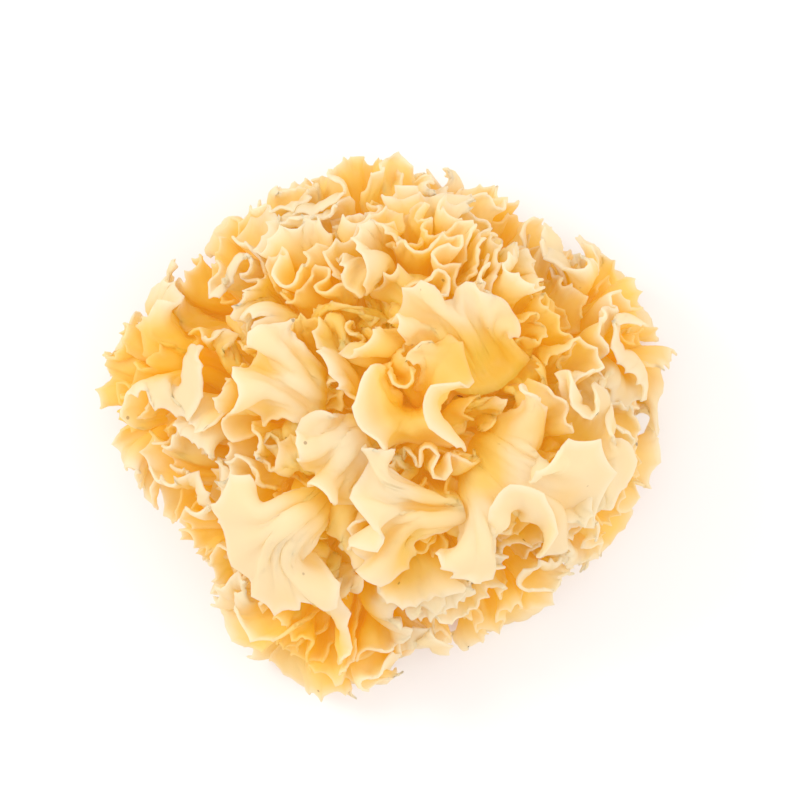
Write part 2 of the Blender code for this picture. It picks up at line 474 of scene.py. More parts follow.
# %% [markdown]
# A petal's drawn part starts at its hinge. Below the hinge it is hidden, so that stretch simply runs
# straight down to the heel, where the petal is a quarter as wide as at the hinge.

# %% Sow the broad petals
PETAL_HINGE_SHARE = 0.22
PETAL_ROOT_REACH = 1.15
PETAL_ROOT_SPREAD = 0.25
PETAL_WIDTH = 20 * MM
PETAL_LENGTH = 30 * MM
BROAD_GROWTH = 0.15    # only marks a lobe as broad: PETAL_GROWTH says how much a petal grows


def broad_petal(name, rows):
    root = HEART + AXES[name] * heel_reach(name) * PETAL_ROOT_REACH
    out = np.clip((row - PETAL_HINGE_SHARE) / (1 - PETAL_HINGE_SHARE), 0, 1)
    fan = sheet_at(drawn_petal(rows), column + 0 * row, out + 0 * column)
    rise = np.clip(row / PETAL_HINGE_SHARE, 0, 1)[..., None]
    root = root + PETAL_ROOT_SPREAD * (fan[:1] - fan[:1].mean(axis=1, keepdims=True))
    return root + (fan - root) * rise


petals = []
for name, rows in PETALS:
    petals.append(len(lobes))
    sow(name, broad_petal(name, rows), PETAL_WIDTH, PETAL_LENGTH, BROAD_GROWTH)
drawn_petals = np.array([lobes[at]["points"] for at in petals])
print("lobes with the petals:", len(lobes))

# %% [markdown]
# ### The outline
# The outline could be a plain dome, but a real head is lumpy. Here each frond's rims end in a rounded
# tuft, a little higher than the dips between two tufts.

# %% The outline that holds the rims
TUFT_SHARPNESS = 30
TUFT_TOP = 1.03
TUFT_DIP = 0.10
TUFT_HALF_ANGLE = math.radians(20)


def outline_reach(ways):
    """How far the fungus reaches from its heart that way, a little less between two tufts."""
    near = ways @ ALL_AXES.T
    weight = np.exp(TUFT_SHARPNESS * (near - 1))
    reach = (weight @ ALL_REACHES) / weight.sum(axis=-1)
    away = np.arccos(np.clip(near.max(axis=-1), -1, 1)) / TUFT_HALF_ANGLE
    return reach * (TUFT_TOP - TUFT_DIP * away**2)


print("the crown's tuft reaches, in mm:", round(float(outline_reach(AXES["crown"])) / MM, 1))

# %% [markdown]
# ### Lower frills under the petals
# The frills under a petal stay lower, so that it rests on them. Comparing every frill with every
# petal would be slow, so a map of directions keeps the lowest petal over each of its cells. Only the
# middle of a petal counts: along its sides and its rim, frills may come up round it.

# %% How much lower the frills stay
UNDER_PETAL = 3.2 * MM
MAP_CELLS = 90
NO_CEILING = 1.0    # a whole metre up
COVERED_SIDES = (0.08, 0.92)
COVERED_END = 0.8
READ_ACROSS = 90
READ_ALONG = 70


def map_cell(ways):
    """The cell of the map of directions, laid out as seen from above."""
    cell = np.clip(((ways[..., :2] + 1) / 2 * MAP_CELLS).astype(int), 0, MAP_CELLS - 1)
    return cell[..., 0], cell[..., 1]


ceiling = np.full((MAP_CELLS, MAP_CELLS), NO_CEILING)
covered_u, covered_v = np.meshgrid(
    np.linspace(*COVERED_SIDES, READ_ACROSS), np.linspace(0, COVERED_END, READ_ALONG),
)
for _, rows in PETALS:
    drawn = sheet_at(drawn_petal(rows), covered_u, covered_v) - HEART
    reach = np.linalg.norm(drawn, axis=-1)
    np.minimum.at(ceiling, map_cell(drawn / reach[..., None]), reach - UNDER_PETAL)
covered = float((ceiling < NO_CEILING).mean() * 4 / math.pi)
print("covered by petals:", round(100 * covered), "percent of the round seen from above")

# %% [markdown]
# ### Pockets
# Here and there a pocket between the frills stays open as well, and light gets lost in it. Each
# pocket is a place seen from above with a width, and the frills stay lower there, most of all in its
# middle. Lobes that would reach over these limits are shortened before they grow, because pressing a
# long lobe down would only fold it up.

# %% Pockets, and shorten what is too long
RECESSES = [
    # x, y and radius in mm, and how much lower the frills stay there, in mm
    (5, 18, 5, 12),
    (-27, -25, 5, 13),
    (-13, -28, 4, 11),
    (9, -12, 4, 11),
    (38, 8, 4, 9),
    (-25, 0, 3, 8),
    (34, 22, 4, 8),
    (2, -3, 3, 9),
    (-8, 16, 3, 8),
    (-26, 26, 3, 8),
]
RECESS_ROUND = 50
KEPT_STRETCH = 25 * MM    # the part of a lobe that is this near the heart stays as it is
LONG_ENOUGH = 0.97
RECESS_EDGE = 1.5         # a pocket's side has run out at so many radii

recess_ways = np.array([from_above(x * MM, y * MM, RECESS_ROUND * MM) for x, y, _, _ in RECESSES]) - HEART
recess_ways = (recess_ways / np.linalg.norm(recess_ways, axis=1, keepdims=True)).T
recess_angles = np.array([wide / RECESS_ROUND for _, _, wide, _ in RECESSES])
recess_depths = np.array([deep * MM for _, _, _, deep in RECESSES])


def recess_depth(ways):
    angle = np.arccos(np.clip(ways @ recess_ways, -1, 1))
    return (recess_depths * np.clip(RECESS_EDGE - angle / recess_angles, 0, 1)).max(axis=-1)


def frill_limit(ways):
    """How far a frill may reach that way: within the outline, out of the pockets, under the petals."""
    return np.minimum(outline_reach(ways) - recess_depth(ways), ceiling[map_cell(ways)])


shortened = 0
for number, lobe in enumerate(lobes):
    if number in petals:
        continue
    rim = lobe["points"][-1].mean(axis=0) - HEART
    reach = np.linalg.norm(rim)
    short = min(1, (frill_limit(rim / reach) - KEPT_STRETCH) / (reach - KEPT_STRETCH))
    if short < LONG_ENOUGH:
        root = lobe["points"][:1].mean(axis=1, keepdims=True)
        lobe["points"] = root + (lobe["points"] - root) * (1 + (short - 1) * row[..., None])
        lobe["length"] *= short
        shortened += 1
print("shortened under petals and in pockets:", shortened)

# %% [markdown]
# ## Growth
# A lettuce leaf, a coral and a jelly fungus ruffle for one reason: the margin grows faster than the
# middle, and there is no room for it to lie flat. Waves drawn by hand look like cloth, so the lobes
# are grown here instead. Every link of the grid slowly gets longer, most of all near the margin.
# Neighbours push each other apart, and the rims stop at the rounded outline of the tuft.

# %% How long each link grows
RIM_GROWTH_POWER = 2.2
SIDE_POWER = 5
SIDE_RISE = 0.7
SIDE_GROWTH = 0.8      # compared with the rim's
ALONG_GROWTH = 0.2     # compared with the growth across
PETAL_GROWTH = 1.4
LENGTH_SPARE = 1.02
WIDTH_SPARE = 1.3

widths = np.array([lobe["width"] for lobe in lobes])[:, None, None]
lengths = np.array([lobe["length"] for lobe in lobes])[:, None, None]
growths = np.array([lobe["growth"] for lobe in lobes])[:, None, None]


def margin(u, v):
    """How near a place in the lobe is to its margin: 0 in the middle, 1 at the rim."""
    sides = np.abs(2 * u - 1) ** SIDE_POWER * v**SIDE_RISE
    return np.maximum(v**RIM_GROWTH_POWER, SIDE_GROWTH * sides)


u_mid, v_mid = (column[:, 1:] + column[:, :-1]) / 2, (row[1:] + row[:-1]) / 2
young_u = (ROOT_WIDTH + (widths - ROOT_WIDTH) * row) / (COLUMNS - 1) + 0 * u_mid
young_v = lengths / (ROWS - 1) + 0 * v_mid + 0 * column
old_u = young_u * WIDTH_SPARE * (1 + growths * margin(u_mid, row))
old_v = young_v * LENGTH_SPARE * (1 + ALONG_GROWTH * growths * margin(column, v_mid))
for at in petals:
    sheet = lobes[at]["points"]
    young_u[at] = np.linalg.norm(np.diff(sheet, axis=1), axis=-1)
    young_v[at] = np.linalg.norm(np.diff(sheet, axis=0), axis=-1)
    old_u[at] = young_u[at] * (1 + PETAL_GROWTH * margin(u_mid, row))
    old_v[at] = young_v[at]
print("rim of a lobe grows to", round(float(old_u[:, -1].sum(axis=-1).mean()) / MM, 1), "mm on average")

# %% [markdown]
# ### Links that pull
# The grid behaves like a net of springs. Real springs in a simulation shake and fly apart when the
# steps are coarse. Here each link only looks at its own length and moves its two ends a share of
# what is wrong, over and over, which always stays calm. Links along rows and columns keep the
# lengths, and weaker ones across the squares keep the squares from shearing flat. Every second link
# of a row is done at a time, so that no point is moved twice at once.

# %% Links that pull
LINK_SHARE = 0.9
CROSS_SHARE = 0.25


def pull(first, second, rest, share, only_push=False):
    """Moves the two ends of each link towards the link's own length."""
    gap = second - first
    length = np.sqrt((gap * gap).sum(axis=-1)) + TINY
    wrong = 1 - rest / length
    if only_push:
        wrong = np.minimum(wrong, 0)
    move = gap * (0.5 * share * wrong)[..., None]
    first += move
    second -= move


def pull_links(points, rest_u, rest_v):
    pull(points[:, :, 0::2], points[:, :, 1::2], rest_u[:, :, 0::2], LINK_SHARE)
    pull(points[:, :, 1:-1:2], points[:, :, 2::2], rest_u[:, :, 1::2], LINK_SHARE)
    pull(points[:, 0::2], points[:, 1::2], rest_v[:, 0::2], LINK_SHARE)
    pull(points[:, 1:-1:2], points[:, 2::2], rest_v[:, 1::2], LINK_SHARE)
    cross = np.sqrt(rest_u[:, :-1] ** 2 + rest_v[:, :, :-1] ** 2)
    for begin in (0, 1):
        end = ROWS - 1 - begin
        low, high = slice(begin, end, 2), slice(begin + 1, end + 1, 2)
        pull(points[:, low, :-1], points[:, high, 1:], cross[:, low], CROSS_SHARE)
        pull(points[:, low, 1:], points[:, high, :-1], cross[:, low], CROSS_SHARE)


# %% [markdown]
# ### Stiffness
# Tissue bends in wide curves and doesn't crease like paper. So places a few links apart push each
# other away when the stretch between them is bent more than it wants to be. A frill wants to be
# nearly straight. A petal wants the bends it was drawn with, and would flatten out otherwise.

# %% The tissue's own stiffness
STRAIGHT = 0.97


def bends_of(step):
    """How straight each stretch of so many links wants to be: nearly, or as a petal was drawn."""
    drawn = drawn_petals
    bend_u = np.full((len(lobes), ROWS, COLUMNS - step), STRAIGHT, np.float32)
    path = np.cumsum(np.linalg.norm(np.diff(drawn, axis=2, prepend=drawn[:, :, :1]), axis=-1), axis=2)
    apart = np.linalg.norm(drawn[:, :, step:] - drawn[:, :, :-step], axis=-1)
    bend_u[petals] = apart / (path[:, :, step:] - path[:, :, :-step])
    bend_v = np.full((len(lobes), ROWS - step, COLUMNS), STRAIGHT, np.float32)
    path = np.cumsum(np.linalg.norm(np.diff(drawn, axis=1, prepend=drawn[:, :1]), axis=-1), axis=1)
    apart = np.linalg.norm(drawn[:, step:] - drawn[:, :-step], axis=-1)
    bend_v[petals] = apart / (path[:, step:] - path[:, :-step])
    return bend_u, bend_v


def stiffen(points, rest_u, rest_v, bends, share):
    """Pushes the two ends of each stretch apart where it is bent too much."""
    bend_u, bend_v = bends
    step = COLUMNS - bend_u.shape[2]
    path_u = np.cumsum(np.concatenate([0 * rest_u[:, :, :1], rest_u], axis=2), axis=2)
    path_v = np.cumsum(np.concatenate([0 * rest_v[:, :1], rest_v], axis=1), axis=1)
    for odd in (0, 1):
        at = np.array([i for i in range(COLUMNS - step) if (i // step) % 2 == odd])
        first, second = points[:, :, at], points[:, :, at + step]
        stretch = path_u[:, :, at + step] - path_u[:, :, at]
        pull(first, second, bend_u[:, :, at] * stretch, share, only_push=True)
        points[:, :, at] = first
        points[:, :, at + step] = second
        at = np.array([i for i in range(ROWS - step) if (i // step) % 2 == odd])
        first, second = points[:, at], points[:, at + step]
        stretch = path_v[:, at + step] - path_v[:, at]
        pull(first, second, bend_v[:, at] * stretch, share, only_push=True)
        points[:, at] = first
        points[:, at + step] = second


# %% [markdown]
# ### What holds the lobes in
# A frill stops at its limit and a petal a little over the outline, and nothing goes through the floor
# or into the heel. A point that is too far out comes back by only a quarter of the way at each step.
# Put back all at once, the margins would lie pressed flat against the outline.

# %% Hold the rims in
PETAL_OVER = 2 * MM
SOFT_STOP = 0.25
FLOOR_HOLD = 0.9 * MM
HEEL_SKIN = 1.05


def hold_in(points):
    from_heart = points - HEART
    size = np.linalg.norm(from_heart, axis=-1)
    ways = from_heart / size[..., None]
    limit = frill_limit(ways)
    limit[petals] = outline_reach(ways[petals]) + PETAL_OVER
    over = np.maximum(size - limit, 0)
    points -= ways * (SOFT_STOP * over)[..., None]
    points[..., 2] = np.maximum(points[..., 2], FLOOR_HOLD)
    on_heel = points - HEART
    flat = (on_heel[..., :2] ** 2).sum(axis=-1) / HEEL_RADIUS**2
    depth = np.sqrt(flat + (on_heel[..., 2] / HEEL_DOME) ** 2)
    sunk = (depth < HEEL_SKIN) & (depth > 0)
    points[sunk] = HEART + on_heel[sunk] * (HEEL_SKIN / depth[sunk])[:, None]


# %% [markdown]
# ### Neighbours
# Two lobes can't pass through each other. To find the places that are too near without comparing
# every pair, the points are sorted into small cubes, and only points in neighbouring cubes are
# compared. Points of one lobe that are near each other in its grid are left alone. Every second
# point of a frill is enough, but a petal is wide and shows, so all of its points are compared.

# %% Points that are too near
NEAR = 3.0 * MM
APART = 2.25 * MM
SAME_ROWS = 2
SAME_COLUMNS = 3
HALF_THE_CUBES = ((0, 0), (0, 1), (1, -1), (1, 0), (1, 1))    # the others are met from the other side

place_row, place_column = np.divmod(np.arange(ROWS * COLUMNS), COLUMNS)
chessboard = np.flatnonzero((place_row + place_column) % 2 == 0)
checked = np.zeros((len(lobes), ROWS * COLUMNS), bool)
checked[:, chessboard] = True
checked[petals] = True
checked = np.flatnonzero(checked)
print("points that look for neighbours:", len(checked))


def near_pairs(flat):
    """The numbers of the points of each pair that is nearer than NEAR."""
    points = flat[checked]
    cell = np.floor(points / NEAR).astype(np.int64)
    cell -= cell.min(axis=0) - 2
    span = cell.max(axis=0) + 3
    key = (cell[:, 0] * span[1] + cell[:, 1]) * span[2] + cell[:, 2]
    order = np.argsort(key, kind="stable")
    key = key[order]
    here = np.arange(len(key))
    firsts, seconds = [], []
    for dx, dy in HALF_THE_CUBES:
        target = key + (dx * span[1] + dy) * span[2]
        low = here + 1 if dx == dy == 0 else np.searchsorted(key, target - 1)
        high = np.searchsorted(key, target + 2)
        many = np.maximum(high - low, 0)
        first = np.repeat(here, many)
        before = np.repeat(np.cumsum(many) - many, many)
        second = np.arange(many.sum()) - before + np.repeat(low, many)
        firsts.append(order[first])
        seconds.append(order[second])
    first, second = np.concatenate(firsts), np.concatenate(seconds)
    gap = points[first] - points[second]
    close = (gap * gap).sum(axis=1) < NEAR**2
    first, second = checked[first[close]], checked[second[close]]
    lobe_1, place_1 = np.divmod(first, ROWS * COLUMNS)
    lobe_2, place_2 = np.divmod(second, ROWS * COLUMNS)
    rows_off = np.abs(place_1 // COLUMNS - place_2 // COLUMNS)
    columns_off = np.abs(place_1 % COLUMNS - place_2 % COLUMNS)
    apart = (lobe_1 != lobe_2) | (rows_off > SAME_ROWS) | (columns_off > SAME_COLUMNS)
    return first[apart], second[apart]


# %% [markdown]
# The two points of a near pair each move by half of what they lack. A point in the thick of things
# gets a push from many sides, and the sum could throw it far out, so no point moves more than half a
# millimetre at a time.

# %% Push them apart
MOST_PUSH = 0.5 * MM


def push_apart(points, first, second):
    flat = points.reshape(-1, 3)
    gap = flat[first] - flat[second]
    length = np.sqrt((gap * gap).sum(axis=1)) + TINY
    push = gap * (0.5 * np.maximum(APART - length, 0) / length)[:, None]
    total = np.zeros_like(flat)
    for axis in range(3):
        total[:, axis] = np.bincount(first, push[:, axis], len(flat))
        total[:, axis] -= np.bincount(second, push[:, axis], len(flat))
    size = np.sqrt((total * total).sum(axis=1, keepdims=True)) + TINY
    flat += total * np.minimum(1, MOST_PUSH / size)


# %% [markdown]
# ### Faint first waves
# A perfectly even sheet wouldn't know which way to buckle. So every young lobe first gets a few faint
# random waves, and growth makes ruffles of them. The two lowest rows are the root and stay in place.

# %% Faint first waves
FIRST_WAVES = 6
FIRST_WAVE_HEIGHT = 0.25 * MM
ACROSS_WAVES = (1, 5)
ALONG_WAVES = (0, 2)

points = np.array([lobe["points"] for lobe in lobes], np.float32)
shake = np.random.default_rng(SEED)
for _ in range(FIRST_WAVES):
    waves_u = shake.uniform(*ACROSS_WAVES, len(lobes))[:, None, None]
    waves_v = shake.uniform(*ALONG_WAVES, len(lobes))[:, None, None]
    phase = shake.uniform(0, 2 * math.pi, len(lobes))[:, None, None]
    way = shake.normal(size=(len(lobes), 1, 1, 3))
    wave = np.sin(2 * math.pi * (waves_u * column + waves_v * row) + phase)
    points += (FIRST_WAVE_HEIGHT * row * wave)[..., None] * way
roots = points[:, :2].copy()
print("waves on each young lobe:", FIRST_WAVES)

# %% [markdown]
# ### How firm a petal is
# A petal is fixed at its hinge, held ever less towards its middle, and free at its rim, which ruffles
# like the others. It is also stiffer than a frill, in its small bends and in its wide ones.

# %% How firm a petal is
PETAL_FIXED_ROWS = 4
PETAL_HOLD = 0.5
NEAR_STEP = 2
FAR_STEP = 5
FRILL_NEAR_SHARE = 0.14
FRILL_FAR_SHARE = 0.06
PETAL_NEAR_SHARE = 0.25
PETAL_FAR_SHARE = 0.09

firm = np.clip(1.6 - 2 * row, 0, 1)    # full up to three tenths of the way out, none from eight tenths
petal_hold = (PETAL_HOLD * firm)[..., None].astype(np.float32)
petal_hold[:PETAL_FIXED_ROWS] = 1


def shares(frill, petal):
    """How much of a wrong bend each lobe mends at a time."""
    share = np.full((len(lobes), 1, 1), frill, np.float32)
    share[petals] = petal
    return share


near_bends = bends_of(NEAR_STEP)
far_bends = bends_of(FAR_STEP)
near_share = shares(FRILL_NEAR_SHARE, PETAL_NEAR_SHARE)
far_share = shares(FRILL_FAR_SHARE, PETAL_FAR_SHARE)
print("rows of a petal that are held:", int((petal_hold > 0).sum()), "of", ROWS)

# %% [markdown]
# ### Grow
# The links lengthen over three quarters of the steps, and the rest lets the sheets settle. Looking
# for neighbours is slow and points move little in a step, so it is done at every third step only.
# The main lobes lean outward a little all the while, as a rosette does when it opens.

# %% Grow
GROWTH_STEPS = 150
GROWING_SHARE = 0.75
PAIRS_EVERY = 3
ROUNDS = 2
OPENING = 0.02 * MM

leans = np.array([lobe["lean"] for lobe in lobes])[:, None, None, :]
young_u, young_v, old_u, old_v = (rest.astype(np.float32) for rest in (young_u, young_v, old_u, old_v))
began = time.time()
for step in range(GROWTH_STEPS):
    grown = min(1, (step + 1) / (GROWING_SHARE * GROWTH_STEPS))
    rest_u = young_u + (old_u - young_u) * grown
    rest_v = young_v + (old_v - young_v) * grown
    if step % PAIRS_EVERY == 0:
        first, second = near_pairs(points.reshape(-1, 3))
    for _ in range(ROUNDS):
        stiffen(points, rest_u, rest_v, near_bends, near_share)
        stiffen(points, rest_u, rest_v, far_bends, far_share)
        pull_links(points, rest_u, rest_v)
        push_apart(points, first, second)
        points += OPENING * row[..., None] * leans
        hold_in(points)
        points[:, :2] = roots
        points[petals] += petal_hold * (drawn_petals - points[petals])
print("grown in", round(time.time() - began, 1), "s, with", len(first), "near pairs")

# %% [markdown]
# ## From coarse sheets to fine lobes
# A grown lobe is a coarse sheet of points, and the fine mesh reads it as a smooth surface, so the rim
# can be cut to any outline. The rim of a dried lobe is torn into thin points with hollows between.
# The hollows are arcs of uneven width. Each point of the rim, called a cusp here, also stands a
# little off the sheet, to one side or the other. Six lobes in ten have one deeper tear as well.

# %% Cut the rim
SCALLOP_COLUMNS = 6
FINE_ROWS = 20
SCALLOP_WIDTHS = (3.4, 5.2)     # mm
SCALLOP_DEPTHS = (0.1, 0.3)     # as a share of its width
SCALLOP_ROUNDNESS = 0.75
BROAD_WIDTH = 1.5               # a broad petal's scallops are so much wider
BROAD_DEPTH = 0.6               # and so much shallower
CUSP_JITTER = 0.3
CUSP_LIFT = 1.1                 # mm
SAG = 0.5                       # mm
RIM_WAVE = 1.6 * MM
RIM_WAVES = (0.6, 1.6)
TORN_LOBES = 0.6
TEAR_PLACES = (0.15, 0.85)
TEAR_WIDTHS = (1.6, 3.0)        # mm
TEAR_DEPTHS = (1.5, 4)          # mm
CORNER_DEPTH = 0.16
CORNER_POWER = 6
RIM_ROWS_POWER = 1.3            # over 1, so that rows lie closer near the rim
SIDE_NOTCH = 0.05
SIDE_NOTCHES = (4, 7)
ALL_ROUND = (0, 6.3)            # a random phase, in radians


def cut_rim(lobe, sheet, rng):
    """Where the fine mesh reads the sheet, and how far its frill lifts each point off the sheet."""
    rim_length = np.linalg.norm(np.diff(sheet[-1], axis=0), axis=1).sum()
    broad = lobe["growth"] == BROAD_GROWTH
    scallop = rng.uniform(*SCALLOP_WIDTHS) * (BROAD_WIDTH if broad else 1) * MM
    count = max(3, round(rim_length / scallop))
    cusps = np.linspace(0, 1, count + 1)
    cusps[1:-1] += rng.uniform(-CUSP_JITTER, CUSP_JITTER, count - 1) / count
    lifts = rng.uniform(-1, 1, count + 1) * CUSP_LIFT * MM
    u, depth, lift = [0.0], [0.0], [lifts[0]]
    t = np.arange(1, SCALLOP_COLUMNS + 1) / SCALLOP_COLUMNS
    ease = t * t * (3 - 2 * t)
    for number, (left, right) in enumerate(zip(cusps[:-1], cusps[1:])):
        wide = (right - left) * rim_length
        u.extend(left + (right - left) * t)
        deep = rng.uniform(*SCALLOP_DEPTHS) * (BROAD_DEPTH if broad else 1) * wide
        depth.extend(deep * (4 * t * (1 - t)) ** SCALLOP_ROUNDNESS)
        sag = rng.uniform(-SAG, SAG) * MM * 4 * t * (1 - t)
        lift.extend(lifts[number] + (lifts[number + 1] - lifts[number]) * ease + sag)
    u, depth, lift = np.array(u), np.array(depth), np.array(lift)
    wave = np.sin(2 * math.pi * rng.uniform(*RIM_WAVES) * u + rng.uniform(*ALL_ROUND))
    depth += RIM_WAVE * (0.5 + 0.5 * wave)
    if rng.random() < TORN_LOBES:
        at = rng.uniform(*TEAR_PLACES)
        wide = rng.uniform(*TEAR_WIDTHS) * MM / rim_length
        depth += rng.uniform(*TEAR_DEPTHS) * MM * np.maximum(0, 1 - np.abs(u - at) / wide)
    depth += CORNER_DEPTH * lobe["length"] * np.abs(2 * u - 1) ** CORNER_POWER
    t = np.linspace(0, 1, FINE_ROWS)[:, None]
    v = 1 - (1 - t) ** RIM_ROWS_POWER
    v = v - depth / lobe["length"] * v**1.6    # the cut fades away towards the root
    notches = np.abs(np.sin(math.pi * (rng.uniform(*SIDE_NOTCHES) * v + rng.uniform(0, 1))))
    sides = 1 - SIDE_NOTCH * notches * t
    u = 0.5 + (u - 0.5) * sides
    return u, np.clip(v, 0, 1), lift * t**5    # and the lift fades faster still


# %% [markdown]
# ### Crumpled skin
# Fresh tissue is mostly water. As it dries, its skin crumples. Plain noise looks like sand, but
# crumples have a direction and sharp ridges. So they are a few plain waves across the sheet, folded
# so that one side of each wave is a crease: wide ones first, then finer and flatter ones.

# %% Crumple
CRUMPLES = ((9, 0.3), (6, 0.16), (4, 0.06))    # each wave's length and height in mm
GROWN_WIDTH = 1.6                              # how much wider a grown lobe is than a young one
CREASE_POWER = 0.8
NEARLY_NOTHING = 1e-12                         # as TINY, for much smaller measures


def normals_of(grid):
    across = np.gradient(grid, axis=1)
    along = np.gradient(grid, axis=0)
    normal = np.cross(across, along)
    return normal / (np.linalg.norm(normal, axis=-1, keepdims=True) + NEARLY_NOTHING)


def crumple(lobe, u, v, rng):
    """How far the crumpled skin stands off the sheet, less so near the root."""
    x, y = u * lobe["width"] * GROWN_WIDTH, v * lobe["length"]
    height = 0 * x
    for length, tall in CRUMPLES:
        way = rng.uniform(0, math.pi)
        path = x * math.cos(way) + y * math.sin(way)
        phase = 2 * math.pi * path / (length * MM) + rng.uniform(*ALL_ROUND)
        height += tall * MM * (1 - 2 * np.abs(np.sin(phase / 2)) ** CREASE_POWER)
    return height * (0.3 + 0.7 * v)


# %% [markdown]
# ### Thickness
# Fresh tissue is a few millimetres thick. Dry, it is half a millimetre at the rim and about one and a
# half at the root. A solidify modifier gives one thickness everywhere, unless a mask is painted for
# it. So front and back are made here by moving the sheet both ways along its normals. A strip round
# the margin closes the two, with a row of points a little outside, so that the rim is rounded and
# not cut square.

# %% Thicken
RIM_THICKNESS = 0.5 * MM
ROOT_THICKNESS = 1.5 * MM
THIN_OUT = 1.5
EDGE_OUT = 0.45


def margin_of(rows, columns):
    """The grid's places all the way round its margin, each as row and column."""
    loop = [(0, c) for c in range(columns)] + [(r, columns - 1) for r in range(1, rows)]
    loop += [(rows - 1, c) for c in range(columns - 2, -1, -1)] + [(r, 0) for r in range(rows - 2, 0, -1)]
    return np.array(loop)


def distance_to_rim(grid):
    across = np.cumsum(np.linalg.norm(np.diff(grid, axis=1, prepend=grid[:, :1]), axis=-1), axis=1)
    along = np.cumsum(np.linalg.norm(np.diff(grid, axis=0, prepend=grid[:1]), axis=-1), axis=0)
    return np.minimum(along[-1] - along, np.minimum(across, across[:, -1:] - across))


def closed_faces(number, ring):
    """Front, back and two strips round the margin, from the points' numbers in the grid."""
    size = number.size
    corners = [number[:-1, :-1], number[:-1, 1:], number[1:, 1:], number[1:, :-1]]
    quads = np.stack(corners, axis=-1).reshape(-1, 4)
    after = np.roll(ring, -1)
    edge_at = 2 * size + np.arange(len(ring))
    edge_after = np.roll(edge_at, -1)
    return np.concatenate([
        quads,
        quads[:, ::-1] + size,
        np.stack([after, ring, edge_at, edge_after], axis=-1),
        np.stack([edge_after, edge_at, ring + size, after + size], axis=-1),
    ])


def fine_lobe(lobe, sheet, rng):
    """A closed thin solid: its points, its faces, and for each point how near it is to the rim."""
    u, v, lift = cut_rim(lobe, sheet, rng)
    grid = sheet_at(sheet, u, v)
    grid += (crumple(lobe, u, v, rng) + lift)[..., None] * normals_of(grid)
    rows, columns = grid.shape[:2]
    thick = RIM_THICKNESS + (ROOT_THICKNESS - RIM_THICKNESS) * (1 - v) ** THIN_OUT
    half = (thick / 2)[..., None] * normals_of(grid)
    loop = margin_of(rows, columns)
    rim = (loop[:, 0], loop[:, 1])
    inner = np.clip(loop, 1, [rows - 2, columns - 2])
    outward = grid[rim] - grid[inner[:, 0], inner[:, 1]]
    outward /= np.linalg.norm(outward, axis=1, keepdims=True) + NEARLY_NOTHING
    edge = grid[rim] + outward * (EDGE_OUT * thick[rim])[:, None]
    number = np.arange(rows * columns).reshape(rows, columns)
    faces = closed_faces(number, number[rim])
    to_rim = distance_to_rim(grid).ravel()
    near_rim = np.concatenate([to_rim, to_rim, np.zeros(len(edge))])
    points = np.concatenate([(grid + half).reshape(-1, 3), (grid - half).reshape(-1, 3), edge])
    return points, faces, near_rim


# %% [markdown]
# ### Stalks
# Under the lobes each frond has a thick fleshy stem that swells on the way up, with ribs where the
# lobes run down into it. It is a tube of rings, made wider or narrower all round by the ribs.

# %% Stalks
STALK_SIDES = 26
STALK_RINGS = 22
STALK_SHARE = 0.62
STALK_SUNK = 1.5 * MM       # how far it starts inside the heel
STALK_SLOPE = 0.24          # its radius over its distance from the heart
STALK_SWELLING = 0.04
STALK_WIDTH = 0.85
ROUNDED_END = 0.0004
LOBE_RIB = 0.12
FINE_RIB = 0.06
FINE_RIBS = 9


def tube_faces(rings, sides):
    """The faces of a tube of rings, and the two caps that close its ends."""
    number = np.arange(rings * sides).reshape(rings, sides)
    right = np.roll(number, -1, axis=1)
    faces = np.stack([number[:-1], right[:-1], right[1:], number[1:]], axis=-1).reshape(-1, 4)
    return faces, [number[0][::-1].tolist(), number[-1].tolist()]


def stalk(name, rng):
    start, end = heel_reach(name) - STALK_SUNK, FRONDS[name][2] * MM * STALK_SHARE
    t = np.linspace(0, 1, STALK_RINGS)[:, None]
    turn = np.linspace(0, 2 * math.pi, STALK_SIDES, endpoint=False)[None, :]
    along = start + (end - start) * t
    ribs = 1 + LOBE_RIB * np.sin(FRONDS[name][3] * turn + rng.uniform(*ALL_ROUND))
    ribs = ribs + FINE_RIB * np.sin(FINE_RIBS * turn + 5 * t)
    closing = np.sqrt(np.maximum(1 - t**3, ROUNDED_END))
    radius = along * (STALK_SLOPE + STALK_SWELLING * t) * closing * ribs * STALK_WIDTH
    side = np.cos(turn)[..., None] * TURNS[name][:, 0] + np.sin(turn)[..., None] * TURNS[name][:, 1]
    body = HEART + (along + 0 * turn)[..., None] * AXES[name] + radius[..., None] * side
    faces, caps = tube_faces(STALK_RINGS, STALK_SIDES)
    return squeezed(name, body).reshape(-1, 3), faces, caps


# %% [markdown]
# ### One mesh for a frond, and what it knows about itself
# A frond's stalk and lobes grew as one, so they become one mesh. Two numbers are stored at each of
# its points, for the material to read. The first grows with how deep the point lies in the head and
# makes it amber: partly the yellower tissue near the base, partly painted shade of light that has
# passed many lobes. The second grows near a torn rim and makes it pale: partly the paler thin tissue,
# partly painted light that thin rims let through, and it fades where a rim lies deep, as painted
# shade. Painting such a mask by hand would take days, but the shape knows both.

# %% A mesh with amber and painted shade, pale and painted rim light
# the amber and painted shade are full at this depth below the outline
AMBER_AND_PAINTED_SHADE_DEPTH = 13 * MM
# the pale tissue and painted rim light reach this far in from a rim
PALE_AND_PAINTED_RIM_LIGHT_WIDTH = 1.6 * MM
FAR_FROM_RIM = 30 * MM
BLOTCH_SIZE = 9 * MM
BLOTCH_WAVES = 8
BLOTCH_SPREAD = (1.2, 2.4)
BLOTCH_SHARE = 0.12


def blotches(points, size):
    """Soft random patches of about that size, mostly from -1 to 1."""
    rng = np.random.default_rng(SEED)
    total = np.zeros(len(points))
    for _ in range(BLOTCH_WAVES):
        way = rng.normal(size=3)
        way *= 2 * math.pi / (size * rng.uniform(*BLOTCH_SPREAD) * np.linalg.norm(way))
        total += np.sin(points @ way + rng.uniform(*ALL_ROUND))
    return total / 4


